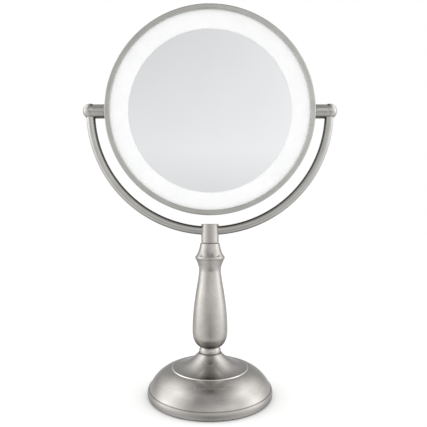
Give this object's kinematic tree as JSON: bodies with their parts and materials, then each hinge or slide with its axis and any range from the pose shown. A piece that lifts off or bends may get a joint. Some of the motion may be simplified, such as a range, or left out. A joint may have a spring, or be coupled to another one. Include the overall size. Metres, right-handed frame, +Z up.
{
  "type": "lighted vanity mirror",
  "caption": "Table-top round vanity mirror with a lit opal ring, two-sided head tilting in a half-round yoke, on a turned stem and a domed weighted base.",
  "frame": {"origin": "on the table surface under the middle of the round base", "axes": "+Z up along the stem, front mirror faces -Y, +X to the right of the mirror as the user sees it, along the head's tilt axis"},
  "size_m": [0.279, 0.1358, 0.4237],
  "materials": {
    "satin_nickel": "satin nickel plate",
    "satin_nickel_bezel": "satin nickel plate, spun",
    "mirror_glass": "polished",
    "opal_acrylic": "frosted, lit from behind",
    "white_plastic": "moulded",
    "white_nylon": "moulded nylon",
    "black_plastic": "fine texture",
    "black_rubber": "matt",
    "foam": "closed-cell foam tape",
    "zinc_steel": "zinc plate",
    "spring_steel": "bright wire",
    "ballast_iron": "as cast, painted",
    "brass": "bright",
    "circuit_board": "solder mask",
    "component_black": "moulded epoxy",
    "led_phosphor": "silicone dome",
    "lead_sheath": "white sheath",
    "cell_jacket": "printed sleeve, plain"
  },
  "bodies": {
    "stand": {"friction_washer_left": "white_nylon", "friction_washer_right": "white_nylon", "pivot_bolt_left": "zinc_steel", "pivot_bolt_right": "zinc_steel", "wave_washer_left": "spring_steel", "wave_washer_right": "spring_steel", "pivot_elbow_left": "satin_nickel", "pivot_elbow_right": "satin_nickel", "yoke_tube": "satin_nickel", "yoke_collar": "satin_nickel", "stem": "satin_nickel", "neck_ring": "satin_nickel", "tie_rod": "zinc_steel", "clamp_washer": "zinc_steel", "lock_washer": "spring_steel", "rod_nut": "brass", "base_shell": "satin_nickel", "base_weight": "ballast_iron", "base_screws": "zinc_steel", "foot_ring": "black_rubber", "base_plate": "black_plastic", "battery_cells": "cell_jacket", "battery_springs": "spring_steel", "battery_contacts": "spring_steel", "driver_board": "circuit_board", "driver_components": "component_black", "switch_trim": "satin_nickel", "switch_body": "black_plastic", "button_spring": "spring_steel", "stand_lead": "lead_sheath"},
    "head": {"front_bezel": "satin_nickel_bezel", "rear_bezel": "satin_nickel_bezel", "carrier_ring": "white_plastic", "front_diffuser": "opal_acrylic", "rear_diffuser": "opal_acrylic", "front_mirror": "mirror_glass", "rear_mirror": "mirror_glass", "core_plate": "white_plastic", "front_foam_pad": "foam", "rear_foam_pad": "foam", "led_strip": "circuit_board", "led_chips": "led_phosphor", "bezel_screws": "zinc_steel", "pivot_bush_left": "white_nylon", "pivot_bush_right": "white_nylon", "head_lead": "lead_sheath"},
    "button": {"power_button": "satin_nickel"},
    "door": {"battery_door": "black_plastic"}
  },
  "joints": [
    {"name": "head_tilt", "type": "hinge", "parent": "stand", "child": "head", "pos_m": [0, 0, 0.3097], "axis": [1, 0, 0], "range_deg": [-180, 180]},
    {"name": "button_press", "type": "slide", "parent": "stand", "child": "button", "axis": [0, -0.6428, -0.766], "range_m": [0, 0.0018], "stiffness_N_per_m": 700, "deforming": ["button_spring"]},
    {"name": "battery_door_hinge", "type": "hinge", "parent": "stand", "child": "door", "pos_m": [0, -0.0292, 0.0027], "axis": [-1, 0, 0], "range_deg": [0, 95]}
  ]
}
